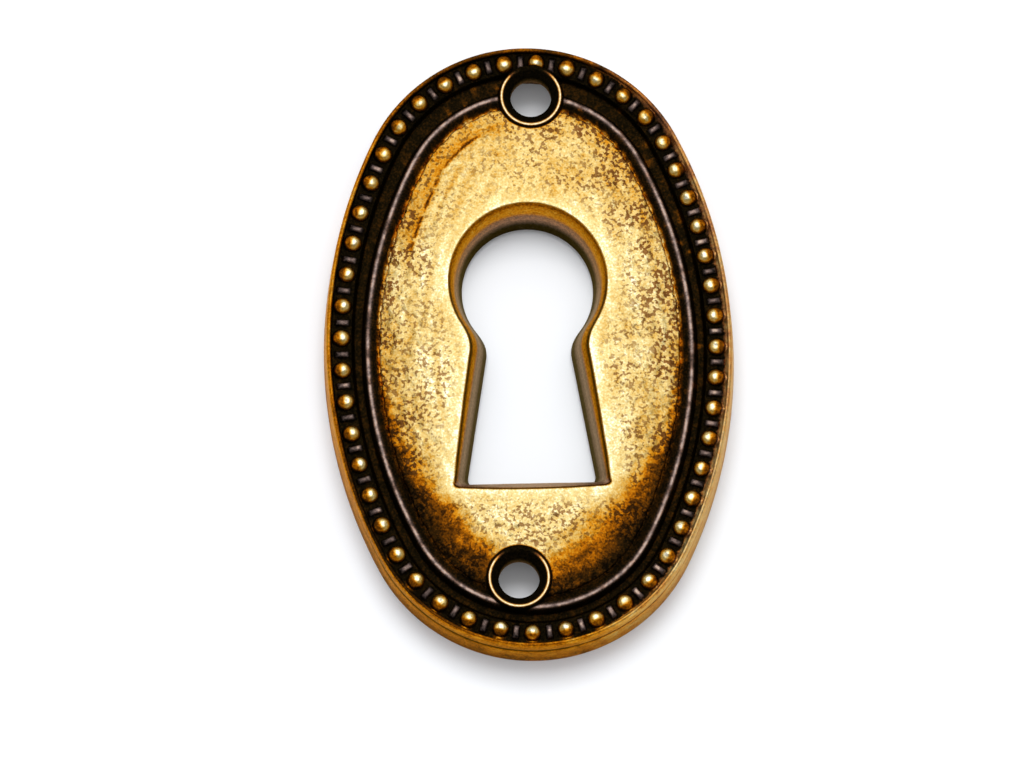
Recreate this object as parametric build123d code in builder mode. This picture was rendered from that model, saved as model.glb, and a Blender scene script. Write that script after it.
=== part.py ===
from build123d import *
from math import atan2, cos, degrees, hypot, radians, sin, tan
import os

# Oval plate, in millimetres: its back lies on Z = 0 and the keyhole stands along Y
plate_height = 38.0
plate_width = 25.0
end_radius = 10.5

# Outer wall and lip
wall_draft = 0.15
lip_height = 3.05
lip_width = 0.42
lip_chamfer = 0.12

# Bead and reel row: each bead is a faceted half ball, drawn out a little across the row.
# The row starts part of a step past the top of the oval and its even spacing drifts a little once round
bead_count = 48
bead_start = 0.75
bead_drift = 0.21
bead_drift_angle = 31.5
bead_width = 1.08
bead_length = 1.16
bead_crest_height = 3.30
bead_inset = 1.08
bead_sides = 12
bead_tiers = (0, 32, 62)
bead_seat_height = 2.72
bead_seat_inner_inset = 1.70

# Reels: narrow bars with sloping sides, one between each two beads
reel_width = 0.46
reel_length = 1.00
reel_crest_height = 3.00
reel_side_slope = 0.12

# Trough between the beads and the ridge line, which its floor runs in under
trough_height = 2.30
trough_draft = 0.14
trough_reach = 3.00

# Ridge line round the field, with a groove inside it. On the casting it sits a little low and to the right
ridge_inset = 2.72
ridge_middle = (0.12, -0.20)
ridge_width = 0.40
ridge_height = 2.98
groove_height = 2.70
groove_width = 0.50

# Domed field, which the border and the keyhole's collar run into a little way
dome_edge_height = 2.90
dome_height = 4.10
field_bond = 0.50

# Hollow back: a rim to lie on, a deeper core under the field and a collar round the keyhole
back_rim_width = 1.60
recess_depth = 1.20
recess_draft = 0.25
core_inset = 4.20
core_depth = 2.00
collar_width = 0.90
collar_foot = 0.50

# Keyhole, sized at its narrow back edge, which is the collar's foot
keyhole_head_radius = 4.0
keyhole_head_y = 4.0
slot_bottom_y = -8.1
slot_width_at_head = 3.8
slot_width_at_bottom = 7.9
keyhole_draft_angle = 12.0
keyhole_flare_height = 3.0
keyhole_flare_angle = 35.0
keyhole_overrun = 0.60

# Pin bosses, a little off the long axis as they are on the casting, hollow behind
upper_pin = (0.45, 15.7)
lower_pin = (-0.94, -14.55)
pin_hole_radius = 1.25
pin_boss_radius = 1.95
pin_boss_height = 3.30
pin_lead_in_radius = 1.65
pin_lead_in_depth = 0.30
pin_hollow_radius = 1.70
pin_hollow_depth = 1.95

# Outline of four tangent arcs: two round the ends, two along the sides
half_height = plate_height / 2
half_width = plate_width / 2
end_centre = half_height - end_radius
side_radius = (half_width**2 + end_centre**2 - end_radius**2) / (2 * (half_width - end_radius))
side_centre = side_radius - half_width
join_angle = degrees(atan2(end_centre, side_centre))
standing = (Align.CENTER, Align.CENTER, Align.MIN)


def oval(inset, middle=(0, 0)):
    """Draw the plate's outline, moved inwards by inset and centred on middle, in the line being built."""
    x, y = middle
    end_arc = 180 - 2 * join_angle
    side_arc = 2 * join_angle
    CenterArc((x, y + end_centre), end_radius - inset, join_angle, end_arc)
    CenterArc((x + side_centre, y), side_radius - inset, 180 - join_angle, side_arc)
    CenterArc((x, y - end_centre), end_radius - inset, 180 + join_angle, end_arc)
    CenterArc((x - side_centre, y), side_radius - inset, -join_angle, side_arc)


# Bead: X runs along the row, Y towards the field
bead_height = bead_crest_height - bead_seat_height
bead_points = [(0, 0, bead_height)]
for tier in bead_tiers:
    for side in range(bead_sides):
        turn = radians(360 * side / bead_sides)
        point_x = bead_width / 2 * cos(radians(tier)) * cos(turn)
        point_y = bead_length / 2 * cos(radians(tier)) * sin(turn)
        bead_points.append((point_x, point_y, bead_height * sin(radians(tier))))

with BuildPart() as bead:
    ConvexPolyhedron(bead_points)

# Reel: X runs along the row as on the bead
reel_corners = (
    (reel_width / 2, reel_length / 2, 0),
    (reel_width / 2 - reel_side_slope, reel_length / 2 - reel_side_slope, reel_crest_height - bead_seat_height),
)
reel_points = []
for corner_x, corner_y, corner_z in reel_corners:
    for sign_x in (-1, 1):
        for sign_y in (-1, 1):
            reel_points.append((sign_x * corner_x, sign_y * corner_y, corner_z))

with BuildPart() as reel:
    ConvexPolyhedron(reel_points)

with BuildLine() as row_line:
    oval(bead_inset)
row_path = row_line.wire()
top_step = (end_radius - bead_inset) * radians(90 - join_angle) / row_path.length


def row_place(index):
    """Give the place in the row of bead number index, or of the reel after it for index and a half."""
    drift = bead_drift * cos(radians(360 * index / bead_count - bead_drift_angle))
    step = (top_step + (index + bead_start - drift) / bead_count) % 1
    foot = row_path @ step + Vector(0, 0, bead_seat_height)
    return Location(foot, (0, 0, row_path.tangent_angle_at(step)))


bead_places = [row_place(index) for index in range(bead_count)]
reel_places = [row_place(index + 0.5) for index in range(bead_count)]

# Keyhole: a round head over a slot that widens downwards, drafted and then flared towards the front
slot_slope = (slot_width_at_bottom - slot_width_at_head) / 2 / (keyhole_head_y - slot_bottom_y)
slot_stretch = hypot(1, slot_slope)


def slot_corners(spread, height):
    """Give the slot's corners at a height, with its walls moved outwards by spread."""
    head_x = slot_width_at_head / 2 + spread * slot_stretch
    bottom_x = slot_width_at_bottom / 2 + spread * (slot_stretch + slot_slope)
    bottom_y = slot_bottom_y - spread
    return [
        (-bottom_x, bottom_y, height),
        (bottom_x, bottom_y, height),
        (head_x, keyhole_head_y, height),
        (-head_x, keyhole_head_y, height),
    ]


keyhole_top = dome_height + keyhole_overrun
draft_spread = (keyhole_flare_height - collar_foot) * tan(radians(keyhole_draft_angle))
flare_spread = draft_spread + (keyhole_top - keyhole_flare_height) * tan(radians(keyhole_flare_angle))
keyhole_stages = (
    (collar_foot, keyhole_flare_height, 0, draft_spread),
    (keyhole_flare_height, keyhole_top, draft_spread, flare_spread),
)

with BuildPart() as keyhole:
    for low, high, low_spread, high_spread in keyhole_stages:
        with Locations((0, keyhole_head_y, low)):
            Cone(keyhole_head_radius + low_spread, keyhole_head_radius + high_spread, high - low, align=standing)
        ConvexPolyhedron(slot_corners(low_spread, low) + slot_corners(high_spread, high))

# Field: a dome lofted through three crowned sections, trimmed to a straight-sided oval and cored behind
field_step = ridge_width / 2 + groove_width
field_inset = ridge_inset + field_step
dome_rise = dome_height - dome_edge_height
width_fall = dome_rise * (half_width / (half_width - field_inset)) ** 2
length_fall = dome_rise * (half_height / (half_height - field_inset)) ** 2
collar_top = core_depth + field_bond

with BuildPart() as field:
    for station, fall in ((half_height, length_fall), (0, 0), (-half_height, length_fall)):
        with BuildSketch(Plane.XZ.offset(-station)):
            with BuildLine():
                crown = Bezier(
                    (-half_width, dome_height - fall - width_fall),
                    (0, dome_height - fall + width_fall),
                    (half_width, dome_height - fall - width_fall),
                )
                Polyline(crown @ 1, (half_width, -dome_height), (-half_width, -dome_height), crown @ 0)
            make_face()
    loft()
    with BuildSketch(Plane.XY.offset(recess_depth)):
        with BuildLine():
            oval(field_inset, ridge_middle)
        make_face()
    extrude(amount=dome_height, mode=Mode.INTERSECT)
    with BuildSketch(Plane.XY):
        with BuildLine():
            oval(core_inset, ridge_middle)
        make_face()
    extrude(amount=core_depth, mode=Mode.SUBTRACT)
    with Locations((0, keyhole_head_y, collar_foot)):
        Cylinder(keyhole_head_radius + collar_width, collar_top - collar_foot, align=standing)
    ConvexPolyhedron(slot_corners(collar_width, collar_foot) + slot_corners(collar_width, collar_top))
    add(keyhole.part, mode=Mode.SUBTRACT)

# Plate: the border's section carried round the outline, then ridge line, field, beads and bosses
with BuildLine() as outline:
    oval(0)
rim_path = outline.wire()
inwards = Vector(0, 0, 1).cross(rim_path % 0)

with BuildLine() as ridge_line:
    oval(ridge_inset, ridge_middle)
ridge_path = ridge_line.wire()
ridge_slope = trough_draft / (ridge_height - trough_height)
ridge_foot = ridge_width / 2 + ridge_slope * (ridge_height - recess_depth)

with BuildPart() as ridge:
    with BuildSketch(Plane(ridge_path @ 0, x_dir=inwards, z_dir=ridge_path % 0)):
        with BuildLine():
            Polyline(
                (-ridge_foot, recess_depth),
                (-ridge_width / 2, ridge_height),
                (ridge_width / 2, ridge_height),
                (field_step, groove_height),
                (field_step + field_bond, groove_height),
                (field_step + field_bond, recess_depth),
                close=True,
            )
        make_face()
    sweep(path=ridge_path)

with BuildPart() as plate:
    with BuildSketch(Plane(rim_path @ 0, x_dir=inwards, z_dir=rim_path % 0)):
        with BuildLine():
            Polyline(
                (0, 0),
                (wall_draft, lip_height - lip_chamfer),
                (wall_draft + lip_chamfer, lip_height),
                (lip_width, lip_height),
                (lip_width, bead_seat_height),
                (bead_seat_inner_inset, bead_seat_height),
                (bead_seat_inner_inset + trough_draft, trough_height),
                (trough_reach, trough_height),
                (trough_reach, recess_depth),
                (back_rim_width + recess_draft, recess_depth),
                (back_rim_width, 0),
                close=True,
            )
        make_face()
    sweep(path=rim_path)
    add(ridge.part)
    add(field.part)
    with Locations(*bead_places):
        add(bead.part)
    with Locations(*reel_places):
        add(reel.part)
    for pin in (upper_pin, lower_pin):
        with Locations((*pin, recess_depth)):
            Cylinder(pin_boss_radius, pin_boss_height - recess_depth, align=standing)
        with Locations((*pin, pin_boss_height)):
            Cylinder(pin_lead_in_radius, dome_height, align=standing, mode=Mode.SUBTRACT)
        with Locations((*pin, pin_boss_height - pin_lead_in_depth)):
            Cone(pin_hole_radius, pin_lead_in_radius, pin_lead_in_depth, align=standing, mode=Mode.SUBTRACT)
        with Locations((*pin, 0)):
            Cylinder(pin_hollow_radius, pin_hollow_depth, align=standing, mode=Mode.SUBTRACT)
            Hole(pin_hole_radius)

plate.part.label = "escutcheon_plate"
os.makedirs("parts", exist_ok=True)
export_step(plate.part, "parts/escutcheon_plate.step")
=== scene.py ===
import math

import bpy
import numpy as np
from mathutils import Matrix, Vector
from mathutils.geometry import delaunay_2d_cdt
from mathutils.kdtree import KDTree


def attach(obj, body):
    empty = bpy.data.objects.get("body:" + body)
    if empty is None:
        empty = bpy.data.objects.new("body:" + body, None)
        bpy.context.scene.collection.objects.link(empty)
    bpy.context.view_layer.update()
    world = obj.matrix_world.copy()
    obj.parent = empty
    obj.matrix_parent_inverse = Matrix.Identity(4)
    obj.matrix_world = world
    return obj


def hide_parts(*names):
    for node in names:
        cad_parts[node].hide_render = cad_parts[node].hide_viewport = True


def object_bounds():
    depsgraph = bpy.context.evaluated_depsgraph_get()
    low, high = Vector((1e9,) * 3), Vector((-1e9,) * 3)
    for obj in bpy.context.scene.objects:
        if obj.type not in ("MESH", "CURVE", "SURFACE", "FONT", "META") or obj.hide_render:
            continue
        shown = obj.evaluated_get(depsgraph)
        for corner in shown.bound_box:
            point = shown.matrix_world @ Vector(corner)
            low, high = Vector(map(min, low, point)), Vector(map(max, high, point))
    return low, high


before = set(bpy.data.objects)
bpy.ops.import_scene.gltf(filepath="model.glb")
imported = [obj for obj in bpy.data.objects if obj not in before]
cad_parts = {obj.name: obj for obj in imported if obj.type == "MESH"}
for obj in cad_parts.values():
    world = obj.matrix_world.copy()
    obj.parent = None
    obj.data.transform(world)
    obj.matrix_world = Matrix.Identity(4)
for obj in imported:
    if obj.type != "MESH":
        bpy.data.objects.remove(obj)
cad_low, cad_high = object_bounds()

MM = 0.001
rng = np.random.default_rng(48)

# Sizes of the solid, in millimetres
half_height = 19.0
half_width = 12.5
end_radius = 10.5
bead_count = 48
bead_start = 0.75
bead_drift = 0.21
bead_drift_angle = math.radians(31.5)
bead_inset = 1.08
bead_half_width = 0.54
bead_half_length = 0.58
reel_half_length = 0.50
seat_height = 2.72
ridge_inset = 2.72
ridge_middle = np.array((0.12, -0.20))
field_inset = 3.42
dome_height = 4.10
dome_rise = 1.20
head_radius = 4.0
head_y = 4.0
slot_bottom_y = -8.1
slot_half_head = 1.9
slot_half_bottom = 3.95
collar_foot = 0.50
collar_width = 0.90
flare_height = 3.0
draft_slope = math.tan(math.radians(12.0))
pins = ((0.45, 15.7), (-0.94, -14.55))
pin_hole_radius = 1.25
pin_hollow_radius = 1.70
pin_hollow_depth = 1.95
recess_depth = 1.20
core_inset = 4.20
core_depth = 2.00

# Sizes of the casting's softer forms, in millimetres
flare_slope = 0.48
foot_flare_slope = 0.78
neck_rounding = 0.90
foot_rounding = 0.50
rim_rounding = 0.05
corner_rounding = 0.04
boss_rounding = 0.03
bead_rise = 0.565
reel_rise = 0.26
reel_half_width = 0.22
tail_rise = 0.31
fillet_rise = 0.30
fillet_start = 0.40
fillet_end = 0.75
row_start = 0.44
row_end = 1.72
field_start = (3.39, 3.48)
rubbed_start = (3.15, 3.27)
boss_reach = 2.3
pit_tries = 9000
pit_radius = (0.13, 0.26)
pit_depth = 0.035
top_clearance = 0.002
parting_height = 2.02
parting_depth = 0.05

end_centre = half_height - end_radius
side_radius = (half_width**2 + end_centre**2 - end_radius**2) / (2 * (half_width - end_radius))
side_centre = side_radius - half_width
join = math.atan2(end_centre, side_centre)
end_run = (end_radius - bead_inset) * (math.pi - 2 * join)
side_run = (side_radius - bead_inset) * 2 * join
row_run = 2 * (end_run + side_run)
slot_slope = (slot_half_bottom - slot_half_head) / (head_y - slot_bottom_y)
slot_stretch = math.hypot(1, slot_slope)
draft_spread = (flare_height - collar_foot) * draft_slope


# Helpers
def ease(low, high, value):
    """Rise smoothly from 0 at low to 1 at high."""
    step = np.clip((value - low) / (high - low), 0, 1)
    return step * step * (3 - 2 * step)


def bump(value, centre, spread):
    """Give 1 at the centre and fall off over the spread."""
    return np.exp(-(((value - centre) / spread) ** 2))


def facing(bearings, towards, width):
    """Give 1 where a bearing is the one given in degrees, and fall off over a width in degrees."""
    return bump(bearings, math.radians(towards), math.radians(width))


def mix(base, over, share):
    """Lay one value over another by a share."""
    return base * (1 - share) + over * share


def soft_max(a, b, blend):
    """Give the larger of two heights, with the corner between them filled."""
    lean = np.clip(0.5 + (a - b) / (2 * blend), 0, 1)
    return b + (a - b) * lean + blend * lean * (1 - lean)


def ring_of(count):
    """Give points evenly round a circle of radius 1."""
    turn = 2 * math.pi * np.arange(count) / count
    return np.stack([np.cos(turn), np.sin(turn)], axis=1)


lattice_size = 128
lattice = rng.random((lattice_size, lattice_size))


def noise(x, y, cell, patch):
    """Give smooth noise between 0 and 1, with features about a cell across, from a numbered patch of the lattice."""
    column, row = x / cell + 17.3 + 9.1 * patch, y / cell + 41.7 + 5.3 * patch
    left, low = np.floor(column).astype(int), np.floor(row).astype(int)
    across, up = column - left, row - low
    across, up = across * across * (3 - 2 * across), up * up * (3 - 2 * up)
    left, low = left % lattice_size, low % lattice_size
    right, high = (left + 1) % lattice_size, (low + 1) % lattice_size
    lower = mix(lattice[left, low], lattice[right, low], across)
    upper = mix(lattice[left, high], lattice[right, high], across)
    return mix(lower, upper, up)


# The oval: places on it, and the inset and share of the way round of any point
def oval_points(share, inset):
    """Give points on the oval moved inwards by inset, at shares of the way round from the top, leftwards."""
    run = (np.asarray(share) * row_run + end_run / 2) % row_run
    arcs = (
        (0, end_centre, end_radius, join, end_run),
        (side_centre, 0, side_radius, math.pi - join, side_run),
        (0, -end_centre, end_radius, math.pi + join, end_run),
        (-side_centre, 0, side_radius, -join, side_run),
    )
    x, y = np.zeros_like(run), np.zeros_like(run)
    begin = 0
    for centre_x, centre_y, radius, first, length in arcs:
        here = (run >= begin) & (run <= begin + length)
        angle = first + (run - begin) / (radius - bead_inset)
        x = np.where(here, centre_x + (radius - inset) * np.cos(angle), x)
        y = np.where(here, centre_y + (radius - inset) * np.sin(angle), y)
        begin += length
    return np.stack([x, y], axis=1)


def oval_inset(x, y):
    """Give each point's distance inwards from the outline and its share of the way round."""
    across, along = np.abs(x), np.abs(y)
    side_angle = np.arctan2(along, across + side_centre)
    on_end = side_angle > join
    end_angle = np.arctan2(along - end_centre, across)
    inset = np.where(
        on_end,
        end_radius - np.hypot(across, along - end_centre),
        side_radius - np.hypot(across + side_centre, along),
    )
    run = np.where(
        on_end,
        (math.pi / 2 - end_angle) * (end_radius - bead_inset),
        end_run / 2 + (join - side_angle) * (side_radius - bead_inset),
    )
    run = np.where(y < 0, row_run / 2 - run, run)
    run = np.where(x > 0, row_run - run, run)
    return inset, run / row_run % 1


def ridge_drift(share):
    """Give how far the ridge line runs inside a true oval: more at the ends, less along the left side."""
    turn = 2 * math.pi * share
    return 0.07 + 0.13 * np.cos(2 * turn) + 0.05 * np.cos(turn) - 0.09 * np.sin(turn)


def field_places(x, y):
    """Give each point's inset and share measured by the ridge line, which is off centre and drifts."""
    inset, share = oval_inset(x - ridge_middle[0], y - ridge_middle[1])
    return inset - ridge_drift(share), share


# The keyhole, measured outwards from its back edge, whose neck and foot corners are rounded
def keyhole_spread(x, y):
    """Give each point's distance outwards from the keyhole's back edge."""
    head = np.hypot(x, y - head_y) - head_radius
    side = (np.abs(x) - slot_half_head - slot_slope * (head_y - y)) / slot_stretch
    slot = np.maximum(soft_max(side, slot_bottom_y - y, foot_rounding), y - head_y)
    return -soft_max(-head, -slot, neck_rounding)


def keyhole_row(spread, counts):
    """Give points round the keyhole at a spread, as many on the head, each side and the bottom as counts says."""
    on_head, on_side, on_bottom = counts
    neck = slot_half_head + spread * slot_stretch
    radius = head_radius + spread
    a, b, c = 1 + slot_slope**2, 2 * neck * slot_slope, neck**2 - radius**2
    drop = (-b + math.sqrt(b * b - 4 * a * c)) / (2 * a)
    neck_x = neck + slot_slope * drop
    bottom_y = slot_bottom_y - spread
    bottom_x = neck + slot_slope * (head_y - bottom_y)
    start = math.atan2(-drop, neck_x)
    angle = start + (math.pi - 2 * start) * np.arange(on_head) / on_head
    head = np.stack([radius * np.cos(angle), head_y + radius * np.sin(angle)], axis=1)
    neck_left, neck_right = np.array([-neck_x, head_y - drop]), np.array([neck_x, head_y - drop])
    foot_left, foot_right = np.array([-bottom_x, bottom_y]), np.array([bottom_x, bottom_y])
    side_share = (np.arange(on_side) / on_side)[:, None]
    bottom_share = (np.arange(on_bottom) / on_bottom)[:, None]
    left = neck_left + (foot_left - neck_left) * side_share
    bottom = foot_left + (foot_right - foot_left) * bottom_share
    right = foot_right + (neck_right - foot_right) * side_share
    points = np.concatenate([head, left, bottom, right])
    # Draw the points onto the rounded form
    nudge = 1e-4
    for _ in range(6):
        px, py = points[:, 0], points[:, 1]
        off = spread - keyhole_spread(px, py)
        lean_x = (keyhole_spread(px + nudge, py) - keyhole_spread(px - nudge, py)) / (2 * nudge)
        lean_y = (keyhole_spread(px, py + nudge) - keyhole_spread(px, py - nudge)) / (2 * nudge)
        steepness = np.maximum(lean_x**2 + lean_y**2, 0.2)
        points = points + np.stack([lean_x, lean_y], axis=1) * (off / steepness)[:, None]
    return points


def pin_reach(points):
    """Give each point's distance from the nearer pin."""
    return np.min([np.hypot(points[:, 0] - px, points[:, 1] - py) for px, py in pins], axis=0)


# Beads and reels: their places in the row, and small differences from one to the next
def row_share(index):
    """Give the share of the way round of bead number index, or of the reel after it for index and a half."""
    drift = bead_drift * np.cos(2 * math.pi * index / bead_count - bead_drift_angle)
    return (index + bead_start - drift) / bead_count % 1


def row_frames(index):
    """Give centres, directions along the row and directions towards the field."""
    share = row_share(index)
    centre = oval_points(share, bead_inset)
    inwards = oval_points(share, bead_inset + 1.0) - centre
    along = np.stack([inwards[:, 1], -inwards[:, 0]], axis=1)
    return centre, along, inwards


def set_in_row(spots, centre, along, inwards):
    """Move spots, given along the row and towards the field, to a place in the row."""
    return centre + spots[:, :1] * along + spots[:, 1:] * inwards


def local(points, share, frames, index):
    """Give each point's nearest member of the row and its place beside it, along the row and towards the field."""
    centre, along, inwards = frames
    gap = np.abs(share[:, None] - row_share(index)[None, :])
    nearest = np.argmin(np.minimum(gap, 1 - gap), axis=1)
    offset = points - centre[nearest]
    u = np.sum(offset * along[nearest], axis=1)
    v = np.sum(offset * inwards[nearest], axis=1)
    return nearest, u, v


bead_index = np.arange(bead_count)
reel_index = bead_index + 0.5
bead_frames = row_frames(bead_index)
reel_frames = row_frames(reel_index)
bead_size = 1 + rng.uniform(-0.05, 0.03, bead_count)
bead_lift = rng.uniform(0.92, 1.0, bead_count)
bead_shift = rng.uniform(-0.03, 0.03, (bead_count, 2))
reel_lift = rng.uniform(0.80, 1.0, bead_count)
reel_shift = rng.uniform(-0.04, 0.04, (bead_count, 2))
bead_tip = rng.uniform(-0.16, 0.16, (bead_count, 2))
bead_bearing = np.arctan2(bead_frames[0][:, 1] / half_height, bead_frames[0][:, 0] / half_width)
# Tails run from the beads to the lip, most of all at the lower right
tail_strength = np.clip(0.45 + 0.55 * np.cos(bead_bearing + math.radians(40)), 0, 1)
tail_strength *= rng.uniform(0.75, 1.0, bead_count)

# Section of the border, from the outline inwards: inset and height
edge_rows = (
    (0.000, 0.00), (0.013, 0.25), (0.026, 0.50), (0.038, 0.75), (0.051, 1.00), (0.064, 1.25), (0.077, 1.50),
    (0.090, 1.76), (0.097, 1.90), (0.103, 2.02), (0.109, 2.14), (0.116, 2.28), (0.128, 2.52), (0.138, 2.70),
    (0.150, 2.84), (0.170, 2.935), (0.200, 2.995), (0.240, 3.030), (0.280, 3.045), (0.330, 3.048), (0.375, 3.030),
    (0.410, 2.980), (0.432, 2.900), (0.448, 2.810), (0.470, 2.745), (0.500, 2.725),
)
inner_line = (
    (0.50, 2.72), (1.70, 2.72), (1.84, 2.30), (2.38, 2.30), (2.52, 2.98), (2.92, 2.98), (3.42, 2.70), (4.50, 2.70),
)
edge_inset, edge_height = np.array(edge_rows).T
inner_inset, inner_height = np.array(inner_line).T
fine_step = 0.004
fine_reach = 30
fine = np.arange(inner_inset[0], inner_inset[-1], fine_step)
fine_height = np.interp(fine, inner_inset, inner_height)
softening = np.exp(-0.5 * (np.arange(-fine_reach, fine_reach + 1) * fine_step / corner_rounding) ** 2)
fine_height = np.convolve(np.pad(fine_height, fine_reach, mode="edge"), softening / softening.sum(), "valid")
section_inset = np.concatenate([edge_inset, fine[2:]])
section_height = np.concatenate([edge_height, fine_height[2:]])

# Section of a pin's boss: distance from the pin and height
pin_line = (
    (1.25, 3.00), (1.62, 3.255), (1.70, 3.29), (1.80, 3.295), (1.88, 3.285), (1.94, 3.22), (2.02, 2.6), (2.10, 1.5),
)
pin_distance, pin_height = np.array(pin_line).T

# Rows of points: insets across the border, distances from a pin and spreads round the keyhole
seat_rows = (1.62, 1.68, 1.73, 1.78, 1.83, 1.89, 1.97)
ridge_rows = (
    2.25, 2.32, 2.37, 2.42, 2.47, 2.51, 2.55, 2.60, 2.66, 2.72, 2.78, 2.84, 2.89, 2.94, 3.00, 3.08, 3.17, 3.26, 3.34,
    3.39, 3.43, 3.47, 3.53, 3.60,
)
row_edges = (0.55, 1.55)
pin_rows = (1.25, 1.31, 1.39, 1.48, 1.56, 1.63, 1.69, 1.75, 1.81, 1.86, 1.91, 1.95, 1.99, 2.03, 2.08, 2.15, 2.23)
key_rows = (
    0, 0.06, 0.14, 0.22, 0.30, 0.38, 0.45, 0.51, 0.56, 0.62, 0.69, 0.76, 0.83, 0.88, 0.92, 0.96, 1.00, 1.05, 1.11,
    1.17, 1.23, 1.29, 1.36,
)
row_count = 768
key_counts = (170, 76, 64)
pin_count = 112
grid_pitch = 0.127
grid_margin = 0.07
shares = np.arange(row_count) / row_count
pin_circle = ring_of(pin_count)

# Points over the front: loops that bound it, then rows along the border
loops = [("outline", oval_points(shares, 0)), ("keyhole", keyhole_row(0, key_counts))]
for number, pin in enumerate(pins):
    loops.append((f"pin{number}", np.array(pin) + pin_hole_radius * pin_circle))
border_points = [oval_points(shares, inset) for inset in edge_inset[1:]]
border_points += [oval_points(shares, inset) for inset in seat_rows]
border_points += [oval_points(shares, inset + ridge_drift(shares)) + ridge_middle for inset in ridge_rows]

# Beads: rings of points, each with its radius and count
bead_rings = (
    (0.14, 6), (0.30, 10), (0.46, 14), (0.61, 18), (0.74, 21), (0.84, 24), (0.91, 26), (0.96, 28), (1.0, 28),
    (1.07, 28),
)
bead_spots = [np.zeros((1, 2))]
for radius, count in bead_rings:
    turn = 2 * math.pi * (np.arange(count) + 0.5 * (count % 4 == 2)) / count
    bead_spots.append(radius * np.stack([bead_half_width * np.cos(turn), bead_half_length * np.sin(turn)], axis=1))
bead_spots = np.concatenate(bead_spots)
for number, bead_frame in enumerate(zip(*bead_frames)):
    border_points.append(set_in_row(bead_spots * bead_size[number] + bead_shift[number], *bead_frame))

# Reels: nested outlines and a middle line
reel_spot_width = 0.21
reel_spots = []
for reach in (0.35, 0.7, 0.88, 1.0, 1.14):
    half_across = reel_spot_width * reach
    half_along = reel_half_length - reel_spot_width + reel_spot_width * reach
    for part in np.linspace(-1, 1, 9):
        reel_spots += [(-half_across, part * half_along), (half_across, part * half_along)]
    for part in (-0.45, 0.45):
        reel_spots += [(part * half_across, -half_along), (part * half_across, half_along)]
reel_spots += [(0, part) for part in np.linspace(-0.42, 0.42, 8)]
reel_spots = np.array(reel_spots)
reel_points = [set_in_row(reel_spots + reel_shift[i], *reel_frame) for i, reel_frame in enumerate(zip(*reel_frames))]
reel_points = np.concatenate(reel_points)
inset, share = oval_inset(reel_points[:, 0], reel_points[:, 1])
_, u, v = local(reel_points, share, bead_frames, bead_index)
clear_of_beads = np.hypot(u / bead_half_width, v / bead_half_length) > 1.12
border_points.append(reel_points[clear_of_beads & (inset > 0.53) & (inset < 1.60)])
border_points += [oval_points(shares[::2], inset) for inset in row_edges]
border_points = np.concatenate(border_points)
border_points = border_points[pin_reach(border_points) > pin_rows[-1] + 0.03]

# The field: a grid of triangles, shaken a little
columns = np.arange(-half_width, half_width, grid_pitch)
levels = np.arange(-half_height, half_height, grid_pitch * math.sqrt(0.75))
grid = np.array([(cx + (row % 2) * grid_pitch / 2, cy) for row, cy in enumerate(levels) for cx in columns])
grid += rng.uniform(-0.018, 0.018, grid.shape)
in_grid = field_places(grid[:, 0], grid[:, 1])[0] > ridge_rows[-1] + grid_margin
in_grid &= keyhole_spread(grid[:, 0], grid[:, 1]) > key_rows[-1] + grid_margin
in_grid &= pin_reach(grid) > pin_rows[-1] + grid_margin
grid = grid[in_grid]

key_points = [keyhole_row(spread, key_counts) for spread in key_rows[1:]]
pin_points = [np.array(pin) + radius * pin_circle for pin in pins for radius in pin_rows[1:]]


def on_plate(points):
    """Tell which points lie clear of the keyhole and the pin holes."""
    off_pins = pin_reach(points) > pin_hole_radius * math.cos(math.pi / pin_count)
    return (keyhole_spread(points[:, 0], points[:, 1]) > 0) & off_pins


def triangulate(others):
    """Join the loops and other points into triangles, keeping the loops as edges, and drop those off the plate."""
    points = np.concatenate([loop for name, loop in loops] + others)
    edges, start = [], 0
    for name, loop in loops:
        edges += [(start + i, start + (i + 1) % len(loop)) for i in range(len(loop))]
        start += len(loop)
    made = delaunay_2d_cdt([Vector(p) for p in points.tolist()], edges, [], 0, 1e-5, True)
    flat = np.array([(p.x, p.y) for p in made[0]])
    faces = np.array(made[2])
    faces = faces[on_plate(flat[faces].mean(axis=1))]
    a, b, c = flat[faces[:, 0]], flat[faces[:, 1]], flat[faces[:, 2]]
    turn = (b[:, 0] - a[:, 0]) * (c[:, 1] - a[:, 1]) - (b[:, 1] - a[:, 1]) * (c[:, 0] - a[:, 0])
    faces[turn < 0] = faces[turn < 0][:, ::-1]
    source = {}
    for place, origins in enumerate(made[3]):
        for number in origins:
            source[number] = place
    kept_loops, start = {}, 0
    for name, loop in loops:
        kept_loops[name] = np.array([source[start + i] for i in range(len(loop))])
        start += len(loop)
    return flat, faces, kept_loops


front, front_faces, front_loops = triangulate([border_points] + key_points + pin_points + [grid])

# Where each point of the front lies
x, y = front[:, 0], front[:, 1]
inset, share = oval_inset(x, y)
inset = np.maximum(inset, 0)
spread = np.maximum(keyhole_spread(x, y), 0)
bearing = np.arctan2(y / half_height, x / half_width)
field_inset_at, field_share = field_places(x, y)
bead_at, bead_u, bead_v = local(front, share, bead_frames, bead_index)
bead_u, bead_v = bead_u - bead_shift[bead_at, 0], bead_v - bead_shift[bead_at, 1]
reel_at, reel_u, reel_v = local(front, share, reel_frames, reel_index)
reel_u, reel_v = reel_u - reel_shift[reel_at, 0], reel_v - reel_shift[reel_at, 1]

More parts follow.
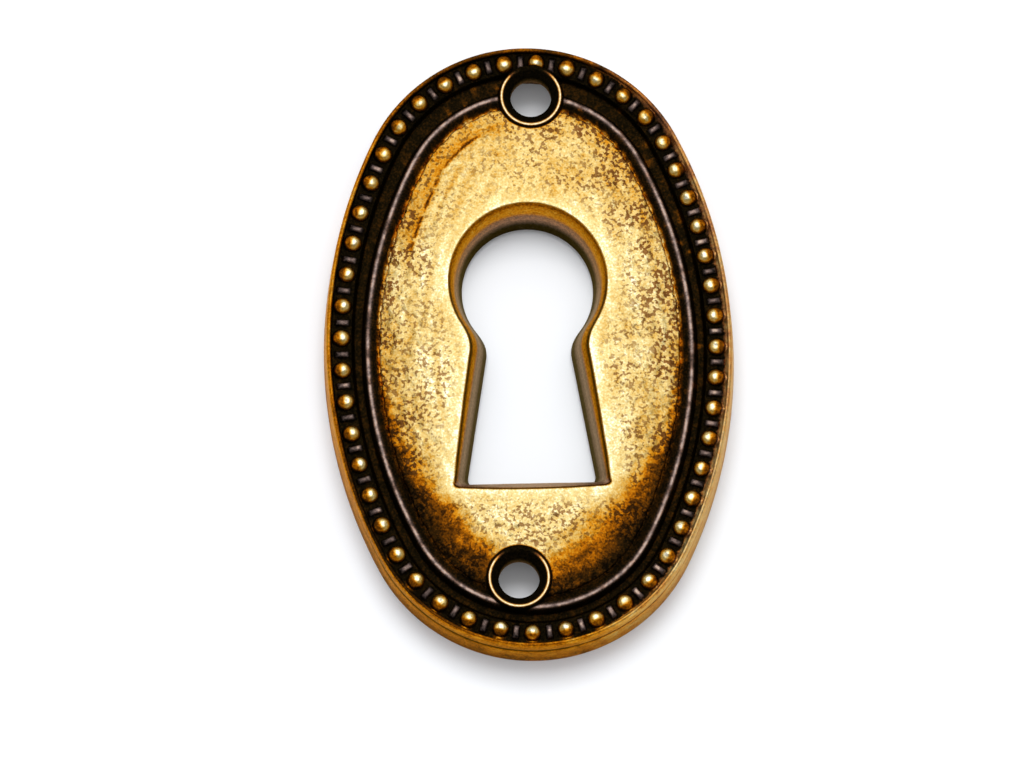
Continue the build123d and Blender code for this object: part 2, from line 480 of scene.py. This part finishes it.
# Heights: the border's section, which is rough, and the dome inside its ragged edge
dome = dome_height - dome_rise * ((x / (half_width - field_inset)) ** 2 + (y / (half_height - field_inset)) ** 2)
ragged = 0.10 * (noise(x, y, 0.45, 1) - 0.5) + 0.06 * (noise(x, y, 0.2, 2) - 0.5)
in_field = ease(*field_start, field_inset_at + ragged)
along_ridge = field_inset_at > 2.20
border = np.interp(np.where(along_ridge, field_inset_at, np.minimum(inset, 2.10)), section_inset, section_height)
rough = (noise(x, y, 0.35, 3) - 0.5) * 0.05 + (noise(x, y, 0.16, 4) - 0.5) * 0.03
border = border + rough * ease(0.5, 0.6, inset) * (1 - 0.25 * bump(field_inset_at, ridge_inset, 0.25))
height = mix(border, dome, in_field)

# Beads with dents and tilted tops, their tails, and the reels
in_row = (inset > row_start) & (inset < row_end)
rho = np.hypot(bead_u / bead_half_width, (bead_v + 0.01) / bead_half_length) / bead_size[bead_at]
dents = 1 - 0.12 * ease(0.45, 0.85, noise(x, y, 0.30, 14))
tilt_of_top = 1 + (bead_u * bead_tip[bead_at, 0] + bead_v * bead_tip[bead_at, 1]) - 0.03
ball = np.clip(1 - rho**3.2, 0, None) ** 0.75 * bead_rise * bead_lift[bead_at] * dents * tilt_of_top
tail = bump(bead_u, 0, 0.28) * ease(-0.18, -0.42, bead_v) * tail_rise * tail_strength[bead_at]
bar = np.maximum(np.abs(reel_u) / reel_half_width, np.abs(reel_v) / reel_half_length)
bar = ease(1.05, 0.55, bar) * reel_rise * reel_lift[reel_at]
row_top = seat_height + np.maximum(np.maximum(ball, tail), bar)
height = np.where(in_row, np.maximum(height, row_top), height)

# A fillet inside the lip on the right
right_side = ease(0.15, 0.80, np.cos(bearing)) * (0.7 + 0.3 * noise(x, y, 0.8, 16))
fillet = seat_height + (fillet_rise - 1.05 * np.clip(inset - fillet_start, 0, None)) * right_side
height = np.where((inset > fillet_start) & (inset < fillet_end), np.maximum(height, fillet), height)

# Pin bosses
reach = pin_reach(front)
boss = np.interp(reach, pin_distance, pin_height)
height = np.where(reach < boss_reach, soft_max(boss, height, boss_rounding), height)
height = np.where(reach < pin_distance[1], boss, height)

# The keyhole's drafted wall and its flare, which is wider at the foot
at_foot = ease(0.0, 0.5, slot_bottom_y - y) * ease(0.5, 0.1, (np.abs(x) - slot_half_bottom) - (slot_bottom_y - y))
slope_at = flare_slope + (foot_flare_slope - flare_slope) * at_foot
wall = np.where(
    spread < draft_spread,
    collar_foot + spread / draft_slope,
    flare_height + (spread - draft_spread) / slope_at,
)
past_rim = spread - (draft_spread + (height - flare_height) * slope_at)
height = np.where(spread < 1.6, -soft_max(-height, -wall, rim_rounding), height)
height[front_loops["keyhole"]] = collar_foot
height[front_loops["outline"]] = 0

# Pits of the cast field, more of them towards its edge
pit_tree = KDTree(len(front))
for number, (px, py) in enumerate(front.tolist()):
    pit_tree.insert((px, py, 0), number)
pit_tree.balance()
pit = np.zeros(len(front))
tries = rng.uniform((-half_width, -half_height), (half_width, half_height), (pit_tries, 2))
tries_inset = oval_inset(tries[:, 0], tries[:, 1])[0]
tries_spread = keyhole_spread(tries[:, 0], tries[:, 1])
outward = np.clip(1 - (tries_inset - field_inset) / 5.0, 0, 1)
chance = (0.12 + 0.55 * outward**1.5) * ease(1.9, 3.0, tries_spread) * (tries_inset > field_inset + 0.05)
chance *= pin_reach(tries) > boss_reach
taken = rng.random(len(tries)) < chance
for (px, py), size in zip(tries[taken].tolist(), rng.uniform(*pit_radius, taken.sum()).tolist()):
    for place, number, distance in pit_tree.find_range((px, py, 0), size):
        pit[number] = max(pit[number], 1 - (distance / size) ** 2)
height -= pit * pit_depth
height += in_field * ease(1.3, 2.0, spread) * (noise(x, y, 0.5, 5) - 0.5) * 0.03
height = np.minimum(height, cad_high.z / MM - top_clearance)

# A parting line on the wall, which shows at the foot and to its right
parting = bump(height, parting_height, 0.11) * (inset < 0.14) * ease(-0.45, -0.8, np.sin(bearing)) * parting_depth
inward = -np.stack([np.cos(np.arctan2(y, x)), np.sin(np.arctan2(y, x))], axis=1)
front_places = np.concatenate([front + inward * parting[:, None], height[:, None]], axis=1)

# The hollow back: rows at the rim, the recess, the core and the keyhole's collar, rings at the pins, a sparse grid
back_count = 256
hollow_count = 56
back_shares = np.arange(back_count) / back_count
back_key_counts = (56, 26, 20)
wall_step = 0.02
rim_rows = (0.80, 1.60, 1.62, 1.84, 1.86, 2.8)
core_rows = (core_inset - wall_step, core_inset, core_inset + 0.4)
back_rows = [oval_points(back_shares, inset_row) for inset_row in rim_rows]
back_rows += [oval_points(back_shares, inset_row) + ridge_middle for inset_row in core_rows]
back_rows.append(keyhole_row(0.05, key_counts))
back_rows += [keyhole_row(spread_row, back_key_counts) for spread_row in (collar_width - wall_step, collar_width)]
back_rows = np.concatenate(back_rows)
back_rows = back_rows[pin_reach(back_rows) > pin_hollow_radius + 0.12]
hollow_radii = (pin_hollow_radius - wall_step, pin_hollow_radius)
hollow_rings = [np.array(pin) + radius * ring_of(hollow_count) for pin in pins for radius in hollow_radii]
back_grid = grid[rng.random(len(grid)) < 0.06]
apart = (keyhole_spread(back_grid[:, 0], back_grid[:, 1]) > 1.3) & (pin_reach(back_grid) > 2.0)
apart &= oval_inset(back_grid[:, 0], back_grid[:, 1])[0] > 4.8
back, back_faces, back_loops = triangulate([back_rows] + hollow_rings + [back_grid[apart]])
back_x, back_y = back[:, 0], back[:, 1]
back_inset = oval_inset(back_x, back_y)[0]
back_core = oval_inset(back_x - ridge_middle[0], back_y - ridge_middle[1])[0]
back_height = np.interp(back_inset, (1.605, 1.85), (0, recess_depth))
back_height = np.where(back_core > core_inset - wall_step / 2, core_depth, back_height)
back_height = np.where(keyhole_spread(back_x, back_y) < collar_width - wall_step / 2, collar_foot, back_height)
back_height = np.where(pin_reach(back) < pin_hollow_radius - wall_step / 2, pin_hollow_depth, back_height)
back_height[back_loops["outline"]] = 0
back_height[back_loops["keyhole"]] = collar_foot
back_places = np.concatenate([back, back_height[:, None]], axis=1)

# One closed mesh: front, back and the two pin holes' walls
front_total = len(front_places)
joined = np.arange(len(back_places)) + front_total
for name in ("outline", "keyhole"):
    joined[back_loops[name]] = front_loops[name]
faces = [front_faces, joined[back_faces[:, ::-1]]]
for number in range(len(pins)):
    top, foot = front_loops[f"pin{number}"], joined[back_loops[f"pin{number}"]]
    top_next, foot_next = np.roll(top, -1), np.roll(foot, -1)
    faces.append(np.stack([top, foot_next, foot], axis=1))
    faces.append(np.stack([top, top_next, foot_next], axis=1))
faces = np.concatenate(faces)
places = np.concatenate([front_places, back_places])
used = np.unique(faces)
renumber = np.zeros(len(places), int)
renumber[used] = np.arange(len(used))
faces, places = renumber[faces], places[used]
front_used = used[used < front_total]


def over_all(front_values, back_value):
    """Give a value to every kept vertex: the front's own, and one for the back."""
    values = np.full(len(used), back_value, dtype=float)
    values[: len(front_used)] = front_values[front_used]
    return values


# Finish, point by point. Tone runs from black patina at 0 to rubbed bright brass at 1, and grey and fleck tell how
# far the brass gives way to grey metal and to brown flecks. Tone and grey also carry painted highlights and painted
# shade
field_base, patina_base, lip_base, bead_base, reel_base = 0.87, 0.06, 0.57, 0.46, 0.12
tail_tone, flare_base, draft_base, foot_highlight_tone, pin_base = 0.60, 0.57, 0.34, 0.62, 0.05
lip_grey, reel_grey, draft_grey, foot_highlight_grey, pin_grey = 0.24, 0.85, 0.85, 0.8, 0.25
lip_fleck, flare_fleck = 0.35, 0.25
back_tone, back_grey, back_fleck = 0.40, 0.35, 0.5
low_corner = (0.687, 0.727)  # outwards and down, towards the field's shaded low corners

# Field: darker at its edge and low at both sides, with streaks along the edge and a scratch at the upper left
blotch = noise(x, y, 1.6, 6)
speck = noise(x, y, 0.28, 7)
fine_speck = noise(x, y, 0.5, 8)
edge = field_inset_at - field_inset
low_side = ease(0.2, -0.7, np.sin(bearing))
edge_noise = 0.50 * (fine_speck - 0.5) + 0.35 * (speck - 0.5)
edge_shade = 0.60 * ease(1.10 * low_side, -0.25, edge + (0.5 + 0.5 * low_side) * edge_noise)
edge_shade += (0.12 + 0.18 * low_side) * ease(2.2 + low_side, 0.0, edge)
patchy = 0.9 * (blotch - 0.5) + 0.8 * (fine_speck - 0.5)
right_shade = ease(-0.5, 2.6, low_corner[0] * x - low_corner[1] * y - 9.7 + patchy)
left_shade = ease(-0.5, 2.2, -low_corner[0] * x - low_corner[1] * y - 10.4 + patchy)
shade = 1 - (1 - edge_shade) * (1 - 0.62 * right_shade) * (1 - 0.80 * left_shade)
field_tone = field_base - 0.07 * ease(5.0, 10.0, y) + 0.03 * ease(1.9, 1.0, spread)
field_tone = field_tone + 0.07 * (blotch - 0.5) + 0.08 * (speck - 0.5)
streaks = noise(edge, 0.12 * field_share * row_run, 0.35, 20) - 0.5
field_tone += 0.14 * streaks * ease(0.4, 1.8, np.abs(x))
field_tone -= 0.68 * shade + 0.05 * pit
scratched = ease(1.75, 1.95, bearing) * ease(2.75, 2.55, bearing)
scratch = bump(edge, 1.15, 0.08) * ease(0.22, 0.45, noise(x, y, 0.4, 18)) * scratched
field_tone -= 0.46 * scratch + 0.08 * ease(1.25, 1.05, edge) * scratched

# Dark border, rubbed field and its flecks, which are sparse in patches and at the upper left
spots = 0.18 * ease(0.72, 0.9, fine_speck) * ease(-0.6, 0.6, np.cos(bearing - 0.9)) * ease(1.6, 1.9, inset)
tone = patina_base + 0.05 * ease(1.6, 1.9, inset) + 0.07 * ease(0.5, 0.9, speck) + spots
rubbed = ease(*rubbed_start, field_inset_at + ragged)
tone = mix(tone, field_tone, rubbed)
sparse = 0.40 * ease(0.3, 0.75, noise(x, y, 1.1, 23)) + 0.40 * bump(bearing, 2.05, 0.40) * ease(4.0, 9.0, y)
fleck = rubbed * (0.12 + 0.74 * ease(1.15, 2.2, spread) * (1 - sparse) + 0.22 * ease(2.6, 0.3, edge))

# Ridge line: a pale grey line along its crest, for rubbed metal and a painted highlight
ridge = bump(field_inset_at, 2.71, 0.125) * (field_inset_at < 3.2) * (field_inset_at > 2.3)
ridge *= 0.6 + 0.4 * ease(0.1, 0.4, noise(x, y, 0.6, 9))
grey = ridge
tone = np.maximum(tone, ridge * (0.34 + 0.40 * noise(x, y, 0.22, 11)))

# Lip and wall, mottled along their run and climb in cells that close once round
run, climb = share * row_run, height + inset
mottle = 0.18 * (noise(run, 1.4 * climb, row_run / lattice_size, 10) - 0.5)
mottle = mottle + 0.16 * (noise(run, climb, row_run / (2 * lattice_size), 13) - 0.5)
low_left = facing(bearing, -138, 26)
# The lip is darker along the top and a little at the bottom, lighter at the lower right and on the right, and darker
# low on the wall
lip_tone = lip_base - 0.20 * ease(0.45, 0.97, np.sin(bearing)) + 0.10 * facing(bearing, -45, 34)
lip_tone = lip_tone - 0.05 * facing(bearing, -90, 25) + 0.06 * ease(0.3, 0.9, np.cos(bearing))
lip_tone += mottle * (0.55 + 0.45 * ease(-0.4, 0.3, np.cos(bearing))) - 0.06 * ease(1.5, 0.6, height)
lip_tone -= low_left * (0.05 + 0.34 * ease(0.19, 0.26, inset))
on_lip = ease(0.46, 0.41, inset + 0.05 * (noise(x, y, 0.5, 12) - 0.5) - 0.20 * right_side)
by_lip = inset < fillet_end
tone = np.where(by_lip, mix(tone, lip_tone, on_lip), tone)
fleck = np.where(by_lip, lip_fleck * on_lip, fleck)
grey = np.where(by_lip, lip_grey * on_lip * ease(0.2, 0.9, np.cos(bearing)), grey)
tone -= 0.44 * parting / parting_depth

# Beads, with painted highlights on their tops towards the field, and their tails
# Some beads are dimmer: those at the upper left and the upper right, and the rest a little at random
bead_dimming = 1 - 0.10 * facing(bead_bearing, 128, 14)
bead_dimming = bead_dimming - 0.10 * facing(bead_bearing, 58, 14)
bead_dimming = bead_dimming * rng.uniform(0.94, 1.0, bead_count)
on_bead = ease(1.0, 0.90, rho) * in_row
# Inner halves are rubbed brighter and painted as the lit side, with a painted highlight near the top, and each bead
# goes darker towards its foot
inner_half_rubbed_and_lit = ease(-0.22, 0.02, bead_v)
bead_painted_highlight = np.exp(-((bead_u / 0.23) ** 2) - ((bead_v - 0.07) / 0.19) ** 2)
bead_tone = (bead_base + inner_half_rubbed_and_lit * (0.22 + 0.50 * bead_painted_highlight)) * bead_dimming[bead_at] - 0.34 * ease(0.72, 0.98, rho)
bead_tone += 0.22 * (noise(x, y, 0.22, 15) - 0.5) * (1 - bead_painted_highlight)
tone = mix(tone, bead_tone, on_bead)
on_tail = np.clip(tail / 0.16, 0, 1) * in_row * (1 - on_bead)
tone = mix(tone, tail_tone, on_tail)

# Reels, dull grey with a painted highlight
on_reel = ease(0.05, 0.18, bar) * in_row * (1 - on_bead)
grey = np.maximum(grey, on_reel * reel_grey)
reel_worn = rng.uniform(0.60, 1.15, bead_count)[reel_at]
# A painted highlight on each reel, towards the field
reel_painted_highlight = np.exp(-((reel_u / 0.17) ** 2) - ((reel_v - 0.10) / 0.26) ** 2)
reel_tone = (reel_base + 0.44 * reel_painted_highlight) * (0.45 + 1.0 * noise(x, y, 0.17, 17)) * reel_worn
tone = mix(tone, reel_tone, on_reel)

# Keyhole: golden flare with painted shade inside its rim and a painted highlight outside it, greyer wall below it,
# and a painted highlight on the foot's flare
on_flare = ease(0.03, -0.05, past_rim)
head_side = ease(2.0, 5.5, y)
# The flare's band just inside the rim is painted shade, with less of it at the head
flare_tone = flare_base + 0.02 * head_side - (0.40 - 0.22 * head_side) * bump(past_rim, -0.08, 0.08)
tone = mix(tone, flare_tone, on_flare)
# A painted highlight just outside the rim
tone += 0.05 * bump(past_rim, 0.12, 0.10) * in_field
on_draft = ease(0.58, 0.48, spread + 0.12 * head_side)
# The wall goes black at its back edge, and a painted highlight line runs along its top
draft_tone = (draft_base + 0.07 * head_side) * ease(0.14, 0.26, spread)
draft_tone = draft_tone + 0.10 * bump(spread, 0.40 - 0.08 * head_side, 0.04)
tone = mix(tone, draft_tone, on_draft)
grey = grey * (1 - on_flare) + on_draft * (draft_grey - 0.35 * head_side)
fleck = mix(fleck, flare_fleck, on_flare)
# A painted highlight on the foot's flare
foot_painted_highlight = at_foot * ease(-0.12, -0.22, past_rim) * (1 - on_draft)
tone = mix(tone, foot_highlight_tone, foot_painted_highlight)
grey = np.maximum(grey, foot_highlight_grey * foot_painted_highlight)

# Pin bosses: dark, with a thin painted highlight on the crest that fades towards the top
near_pin = ease(2.06, 1.98, reach)
pin_x = np.where(y > 0, pins[0][0], pins[1][0])
pin_y = np.where(y > 0, pins[0][1], pins[1][1])
# A painted highlight on the crest of each boss, fading towards the top
pin_painted_highlight = bump(reach, 1.79, 0.065) * ease(0.98, 0.5, np.sin(np.arctan2(y - pin_y, x - pin_x)))
tone = mix(tone, pin_base + 1.05 * pin_painted_highlight, near_pin)
grey = mix(grey, pin_grey * pin_painted_highlight, near_pin)
fleck = fleck * (1 - near_pin)

# Mesh object, with the finish and its painted highlights and shade as attributes: each has the front's values and
# one for the back
mesh = bpy.data.meshes.new("escutcheon_cast")
mesh.vertices.add(len(places))
mesh.vertices.foreach_set("co", (places * MM).ravel())
mesh.loops.add(faces.size)
mesh.loops.foreach_set("vertex_index", faces.ravel().astype(np.int32))
mesh.polygons.add(len(faces))
mesh.polygons.foreach_set("loop_start", np.arange(0, faces.size, 3, dtype=np.int32))
mesh.update(calc_edges=True)
mesh.validate()
mesh.polygons.foreach_set("use_smooth", np.ones(len(faces), dtype=bool))
mesh.set_sharp_from_angle(angle=math.radians(62))
finish_and_painted_light = (("tone", tone, back_tone), ("grey", grey, back_grey), ("fleck", fleck, back_fleck))
for name, front_values, back_value in finish_and_painted_light:
    values = over_all(np.clip(front_values, 0, 1.2), back_value)
    mesh.attributes.new(name, "FLOAT", "POINT").data.foreach_set("value", values.astype(np.float32))
plate = bpy.data.objects.new("escutcheon_cast", mesh)
bpy.context.scene.collection.objects.link(plate)
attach(plate, "root")
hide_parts("escutcheon_plate")


# Helpers for shaders: they add to the node tree that nodes and links stand for at the time
def linear(red, green, blue):
    """Give the linear colour of a screen colour written from 0 to 255."""
    parts = [value / 255 for value in (red, green, blue)]
    return tuple(p / 12.92 if p <= 0.04045 else ((p + 0.055) / 1.055) ** 2.4 for p in parts) + (1.0,)


def node(kind, **settings):
    """Add a node with its settings."""
    made = nodes.new(kind)
    for key, value in settings.items():
        setattr(made, key, value)
    return made


def attribute(name):
    """Add a node that reads one of the mesh's values."""
    return node("ShaderNodeAttribute", attribute_name=name).outputs["Fac"]


def texture(place, scale, detail):
    """Add noise over the plate, with features about one over scale metres across."""
    made = node("ShaderNodeTexNoise")
    made.inputs["Scale"].default_value = scale
    made.inputs["Detail"].default_value = detail
    links.new(place, made.inputs["Vector"])
    return made.outputs["Fac"]


def remap(value, from_low, from_high, to_low, to_high, kind="LINEAR"):
    """Add a node that carries a range of a value to another range."""
    made = node("ShaderNodeMapRange", interpolation_type=kind)
    for socket, number in (("From Min", from_low), ("From Max", from_high), ("To Min", to_low), ("To Max", to_high)):
        made.inputs[socket].default_value = number
    links.new(value, made.inputs["Value"])
    return made.outputs["Result"]


def combine(operation, first, second, clamp=False):
    """Add a node that joins two values."""
    made = node("ShaderNodeMath", operation=operation, use_clamp=clamp)
    links.new(first, made.inputs[0])
    links.new(second, made.inputs[1])
    return made.outputs["Value"]


def colours(value, stops):
    """Add a ramp from a value to colours."""
    made = node("ShaderNodeValToRGB")
    elements = made.color_ramp.elements
    while len(elements) < len(stops):
        elements.new(0.5)
    for element, (position, colour) in zip(elements, stops):
        element.position = position
        element.color = linear(*colour)
    links.new(value, made.inputs["Fac"])
    return made.outputs["Color"]


def between(factor, first, second):
    """Add a mix of two colours."""
    made = node("ShaderNodeMix", data_type="RGBA")
    links.new(factor, made.inputs["Factor"])
    links.new(first, made.inputs["A"])
    links.new(second, made.inputs["B"])
    return made.outputs["Result"]


# Antique brass
brass = bpy.data.materials.new("antique_brass")
brass.use_nodes = True
nodes, links = brass.node_tree.nodes, brass.node_tree.links
shader = nodes["Principled BSDF"]
shader.inputs["Metallic"].default_value = 1.0
shader.inputs["Specular Tint"].default_value = (1.0, 0.80, 0.48, 1.0)
on_object = node("ShaderNodeTexCoord").outputs["Object"]
fleck_in = attribute("fleck")
grain = texture(on_object, 8000.0, 3.0)
crowding = remap(fleck_in, 0.78, 1.0, 0.0, 0.060)
stipple = remap(combine("ADD", texture(on_object, 4100.0, 2.0), crowding), 0.53, 0.60, 0.0, 1.0, "SMOOTHSTEP")
flecks = combine("MULTIPLY", stipple, fleck_in)
varied = combine("ADD", attribute("tone"), remap(grain, 0.3, 0.7, -0.09, 0.09), True)
rubbed_colours = colours(varied, (
    (0.0, (9, 7, 3)), (0.12, (26, 19, 7)), (0.25, (58, 35, 9)), (0.40, (112, 62, 8)), (0.52, (178, 102, 9)),
    (0.62, (202, 136, 26)), (0.72, (204, 160, 74)), (0.84, (216, 188, 119)), (0.93, (231, 212, 153)),
    (1.0, (250, 242, 214)),
))
fleck_colours = colours(varied, (
    (0.0, (5, 4, 2)), (0.2, (18, 12, 5)), (0.4, (52, 30, 9)), (0.6, (90, 53, 18)), (0.85, (126, 82, 39)),
    (1.0, (156, 116, 66)),
))
grey_colours = colours(varied, ((0.0, (10, 8, 6)), (0.30, (108, 92, 87)), (0.6, (168, 151, 142))))
brassy = between(flecks, rubbed_colours, fleck_colours)
links.new(between(attribute("grey"), brassy, grey_colours), shader.inputs["Base Color"])
links.new(remap(varied, 0.1, 0.9, 0.56, 0.32), shader.inputs["Roughness"])
skin = node("ShaderNodeBump")
skin.inputs["Strength"].default_value = 0.30
skin.inputs["Distance"].default_value = 0.00004
links.new(combine("SUBTRACT", grain, remap(flecks, 0.0, 1.0, 0.0, 0.35)), skin.inputs["Height"])
links.new(skin.outputs["Normal"], shader.inputs["Normal"])
mesh.materials.append(brass)

# Floor: pale, white to the eye, with the plate's shadow
floor_half = 2
floor_drop = 0.00002
floor_corners = [(sx * floor_half, sy * floor_half, 0) for sx, sy in ((-1, -1), (1, -1), (1, 1), (-1, 1))]
floor_mesh = bpy.data.meshes.new("floor")
floor_mesh.from_pydata(floor_corners, [], [(0, 1, 2, 3)])
floor = bpy.data.objects.new("floor", floor_mesh)
floor.location.z = -floor_drop
bpy.context.scene.collection.objects.link(floor)
paper = bpy.data.materials.new("paper")
paper.use_nodes = True
nodes, links = paper.node_tree.nodes, paper.node_tree.links
nodes.remove(nodes["Principled BSDF"])
matt = node("ShaderNodeBsdfDiffuse")
matt.inputs["Color"].default_value = (0.75, 0.765, 0.785, 1.0)
glow = node("ShaderNodeEmission")
glow.inputs["Color"].default_value = (0.96, 0.98, 1.0, 1.0)
seen = node("ShaderNodeLightPath").outputs
seen_by_any = combine("MAXIMUM", seen["Is Camera Ray"], seen["Is Glossy Ray"])
seen_by_any = combine("MAXIMUM", seen_by_any, seen["Is Transmission Ray"])
links.new(remap(seen_by_any, 0.0, 1.0, 0.0, 0.08), glow.inputs["Strength"])
both = node("ShaderNodeAddShader")
links.new(matt.outputs["BSDF"], both.inputs[0])
links.new(glow.outputs["Emission"], both.inputs[1])
links.new(both.outputs["Shader"], nodes["Material Output"].inputs["Surface"])
floor_mesh.materials.append(paper)

# Light: a room that is paler low down, and a softbox over the head of the plate. The smaller lamp is there for the
# floor's shadow alone, and the metal doesn't reflect it
world = bpy.data.worlds.new("room")
bpy.context.scene.world = world
world.use_nodes = True
nodes, links = world.node_tree.nodes, world.node_tree.links
background = nodes["Background"]
background.inputs["Color"].default_value = (0.97, 0.99, 1.02, 1.0)
split = node("ShaderNodeSeparateXYZ")
links.new(node("ShaderNodeTexCoord").outputs["Generated"], split.inputs["Vector"])
links.new(remap(split.outputs["Z"], 0.25, 0.55, 0.86, 0.32, "SMOOTHSTEP"), background.inputs["Strength"])
lamp_distance = 1.30


def softbox(name, towards, width, depth, level):
    """Hang a soft lamp in a direction from the plate, as bright to look at as level."""
    lamp = bpy.data.lights.new(name, "AREA")
    lamp.shape = "RECTANGLE"
    lamp.size, lamp.size_y = width, depth
    lamp.energy = level * math.pi * width * depth
    made = bpy.data.objects.new(name, lamp)
    way = Vector(towards).normalized()
    made.location = way * lamp_distance
    made.rotation_mode = "QUATERNION"
    made.rotation_quaternion = way.to_track_quat("Z", "Y")
    bpy.context.scene.collection.objects.link(made)
    return made


softbox("key_light", towards=(0.02, 0.33, 0.94), width=1.80, depth=1.60, level=1.36)
shadow_light = softbox("shadow_light", towards=(0.0, 0.41, 0.91), width=0.62, depth=0.62, level=8.6)
shadow_light.visible_glossy = False

# Camera: over the plate, a little towards its foot, as the photograph shows it
tilt, lean, roll = math.radians(14.7), math.radians(0.8), math.radians(1.28)
picture_width, picture_height = 1024, 768
plate_centre = (528.8, 358.4)
pixel = 0.0610 * MM
camera_distance = 1.00
camera = bpy.data.cameras.new("camera")
camera.sensor_width = 36.0
camera.lens = camera.sensor_width * camera_distance / (picture_width * pixel)
camera.clip_start, camera.clip_end = 0.01, 20.0
eye = bpy.data.objects.new("camera", camera)
backwards = Vector((-math.tan(lean), -math.tan(tilt), 1.0)).normalized()
picture_up = Vector((math.sin(roll), math.cos(roll), 0.0))
right = picture_up.cross(backwards).normalized()
up = backwards.cross(right)
off_x = (plate_centre[0] - picture_width / 2) * pixel
off_y = (picture_height / 2 - plate_centre[1]) * pixel
stand = backwards * camera_distance - right * off_x - up * off_y
turned = Matrix((right, up, backwards)).transposed()
eye.matrix_world = Matrix.Translation(stand) @ turned.to_4x4()
bpy.context.scene.collection.objects.link(eye)
bpy.context.scene.camera = eye
bpy.context.scene.view_settings.view_transform = "Standard"

bpy.context.view_layer.update()
